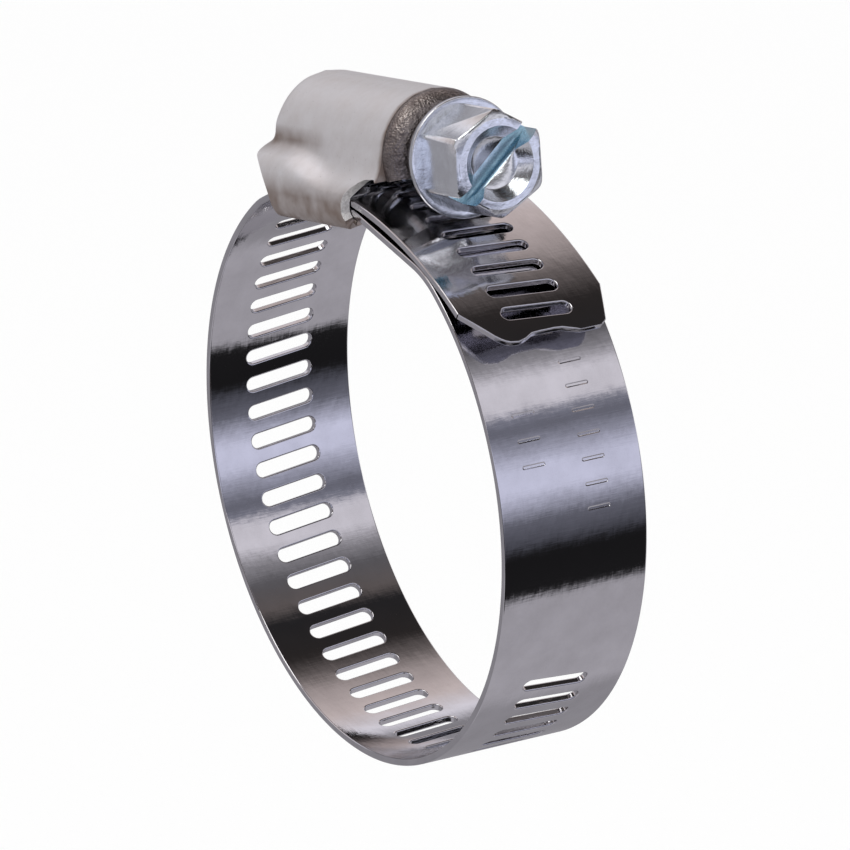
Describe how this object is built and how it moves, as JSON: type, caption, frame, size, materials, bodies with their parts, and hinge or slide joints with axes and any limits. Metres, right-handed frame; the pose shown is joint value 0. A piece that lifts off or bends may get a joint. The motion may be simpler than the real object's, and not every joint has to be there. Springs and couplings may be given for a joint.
{
  "type": "hose clamp",
  "caption": "Worm-drive hose clamp: a slotted band loop closed by a screw with a slotted hex head in a pressed housing.",
  "frame": {"origin": "centre of the loop, where the hose's axis crosses the middle of the band's width", "axes": "+Y along the hose's axis, +Z from the loop's centre to the screw housing, +X along the screw towards its hex head"},
  "size_m": [0.0464, 0.0144, 0.0534],
  "materials": {
    "band_steel": "polished stainless strip with fine lengthwise brush lines",
    "housing_steel": "satin pressed stainless sheet",
    "zinc_screw": "bright zinc-plated steel"
  },
  "bodies": {
    "clamp_body": {"housing": "housing_steel", "saddle": "housing_steel", "band_head": "band_steel"},
    "screw": {"worm_screw": "zinc_screw"},
    "band_ramp": {"band_ramp": "band_steel"},
    "band_plain_1": {"band_plain_1": "band_steel"},
    "band_plain_2": {"band_plain_2": "band_steel"},
    "band_plain_3": {"band_plain_3": "band_steel"},
    "band_slotted_1": {"band_slotted_1": "band_steel"},
    "band_slotted_2": {"band_slotted_2": "band_steel"},
    "band_slotted_3": {"band_slotted_3": "band_steel"},
    "band_slotted_4": {"band_slotted_4": "band_steel"},
    "band_slotted_5": {"band_slotted_5": "band_steel"},
    "band_slotted_6": {"band_slotted_6": "band_steel"},
    "band_slotted_7": {"band_slotted_7": "band_steel"},
    "band_entry": {"band_entry": "band_steel"},
    "band_engaged": {"band_engaged": "band_steel"},
    "band_tail": {"band_tail": "band_steel"}
  },
  "joints": [
    {"name": "screw_turn", "type": "hinge", "parent": "clamp_body", "child": "screw", "pos_m": [0, 0, 0.02505], "axis": [-1, 0, 0], "range_deg": [-90, 360]},
    {"name": "ramp_bend", "type": "hinge", "parent": "clamp_body", "child": "band_ramp", "pos_m": [0.00539, 0, 0.02102], "axis": [0, 1, 0], "range_deg": [-1.86, 0.48]},
    {"name": "plain_1_bend", "type": "hinge", "parent": "band_ramp", "child": "band_plain_1", "pos_m": [0.0165, 0, 0.01596], "axis": [0, 1, 0], "range_deg": [-0.219, 0.0697]},
    {"name": "plain_2_bend", "type": "hinge", "parent": "band_plain_1", "child": "band_plain_2", "pos_m": [0.02155, 0, 0.00789], "axis": [0, 1, 0], "range_deg": [-0.0746, 0.2385]},
    {"name": "plain_3_bend", "type": "hinge", "parent": "band_plain_2", "child": "band_plain_3", "pos_m": [0.0229, 0, -0.00153], "axis": [0, 1, 0], "range_deg": [-0.0873, 0.2891]},
    {"name": "slotted_1_bend", "type": "hinge", "parent": "band_plain_3", "child": "band_slotted_1", "pos_m": [0.02031, 0, -0.01068], "axis": [0, 1, 0], "range_deg": [-0.1229, 0.4316]},
    {"name": "slotted_2_bend", "type": "hinge", "parent": "band_slotted_1", "child": "band_slotted_2", "pos_m": [0.01239, 0, -0.01932], "axis": [0, 1, 0], "range_deg": [-0.1679, 0.6115]},
    {"name": "slotted_3_bend", "type": "hinge", "parent": "band_slotted_2", "child": "band_slotted_3", "pos_m": [0.00124, 0, -0.02292], "axis": [0, 1, 0], "range_deg": [-0.1892, 0.6967]},
    {"name": "slotted_4_bend", "type": "hinge", "parent": "band_slotted_3", "child": "band_slotted_4", "pos_m": [-0.01024, 0, -0.02054], "axis": [0, 1, 0], "range_deg": [-0.1882, 0.6927]},
    {"name": "slotted_5_bend", "type": "hinge", "parent": "band_slotted_4", "child": "band_slotted_5", "pos_m": [-0.01904, 0, -0.01281], "axis": [0, 1, 0], "range_deg": [-0.1682, 0.6127]},
    {"name": "slotted_6_bend", "type": "hinge", "parent": "band_slotted_5", "child": "band_slotted_6", "pos_m": [-0.02288, 0, -0.00174], "axis": [0, 1, 0], "range_deg": [-0.1434, 0.5137]},
    {"name": "slotted_7_bend", "type": "hinge", "parent": "band_slotted_6", "child": "band_slotted_7", "pos_m": [-0.02076, 0, 0.00979], "axis": [0, 1, 0], "range_deg": [-0.1303, 0.4611]},
    {"name": "entry_bend", "type": "hinge", "parent": "band_slotted_7", "child": "band_entry", "pos_m": [-0.01322, 0, 0.01876], "axis": [0, 1, 0], "range_deg": [-1.36, 0.35]},
    {"name": "engaged_bend", "type": "hinge", "parent": "band_entry", "child": "band_engaged", "pos_m": [-0.00679, 0, 0.02169], "axis": [0, 1, 0], "range_deg": [-1.01, 0.27]},
    {"name": "tail_bend", "type": "hinge", "parent": "band_engaged", "child": "band_tail", "pos_m": [0.00265, 0, 0.02201], "axis": [0, 1, 0], "range_deg": [-1.02, 4.02]}
  ],
  "couplings": [
    {"joint": "ramp_bend", "follows": "screw_turn", "ratio": -0.0051017},
    {"joint": "plain_1_bend", "follows": "screw_turn", "ratio": -0.0005527},
    {"joint": "plain_2_bend", "follows": "screw_turn", "ratio": 0.0006069},
    {"joint": "plain_3_bend", "follows": "screw_turn", "ratio": 0.0007476},
    {"joint": "slotted_1_bend", "follows": "screw_turn", "ratio": 0.0011434},
    {"joint": "slotted_2_bend", "follows": "screw_turn", "ratio": 0.0016431},
    {"joint": "slotted_3_bend", "follows": "screw_turn", "ratio": 0.0018796},
    {"joint": "slotted_4_bend", "follows": "screw_turn", "ratio": 0.0018685},
    {"joint": "slotted_5_bend", "follows": "screw_turn", "ratio": 0.0016465},
    {"joint": "slotted_6_bend", "follows": "screw_turn", "ratio": 0.0013713},
    {"joint": "slotted_7_bend", "follows": "screw_turn", "ratio": 0.0012254},
    {"joint": "entry_bend", "follows": "screw_turn", "ratio": -0.0037212},
    {"joint": "engaged_bend", "follows": "screw_turn", "ratio": -0.0027567},
    {"joint": "tail_bend", "follows": "screw_turn", "ratio": 0.011111}
  ]
}
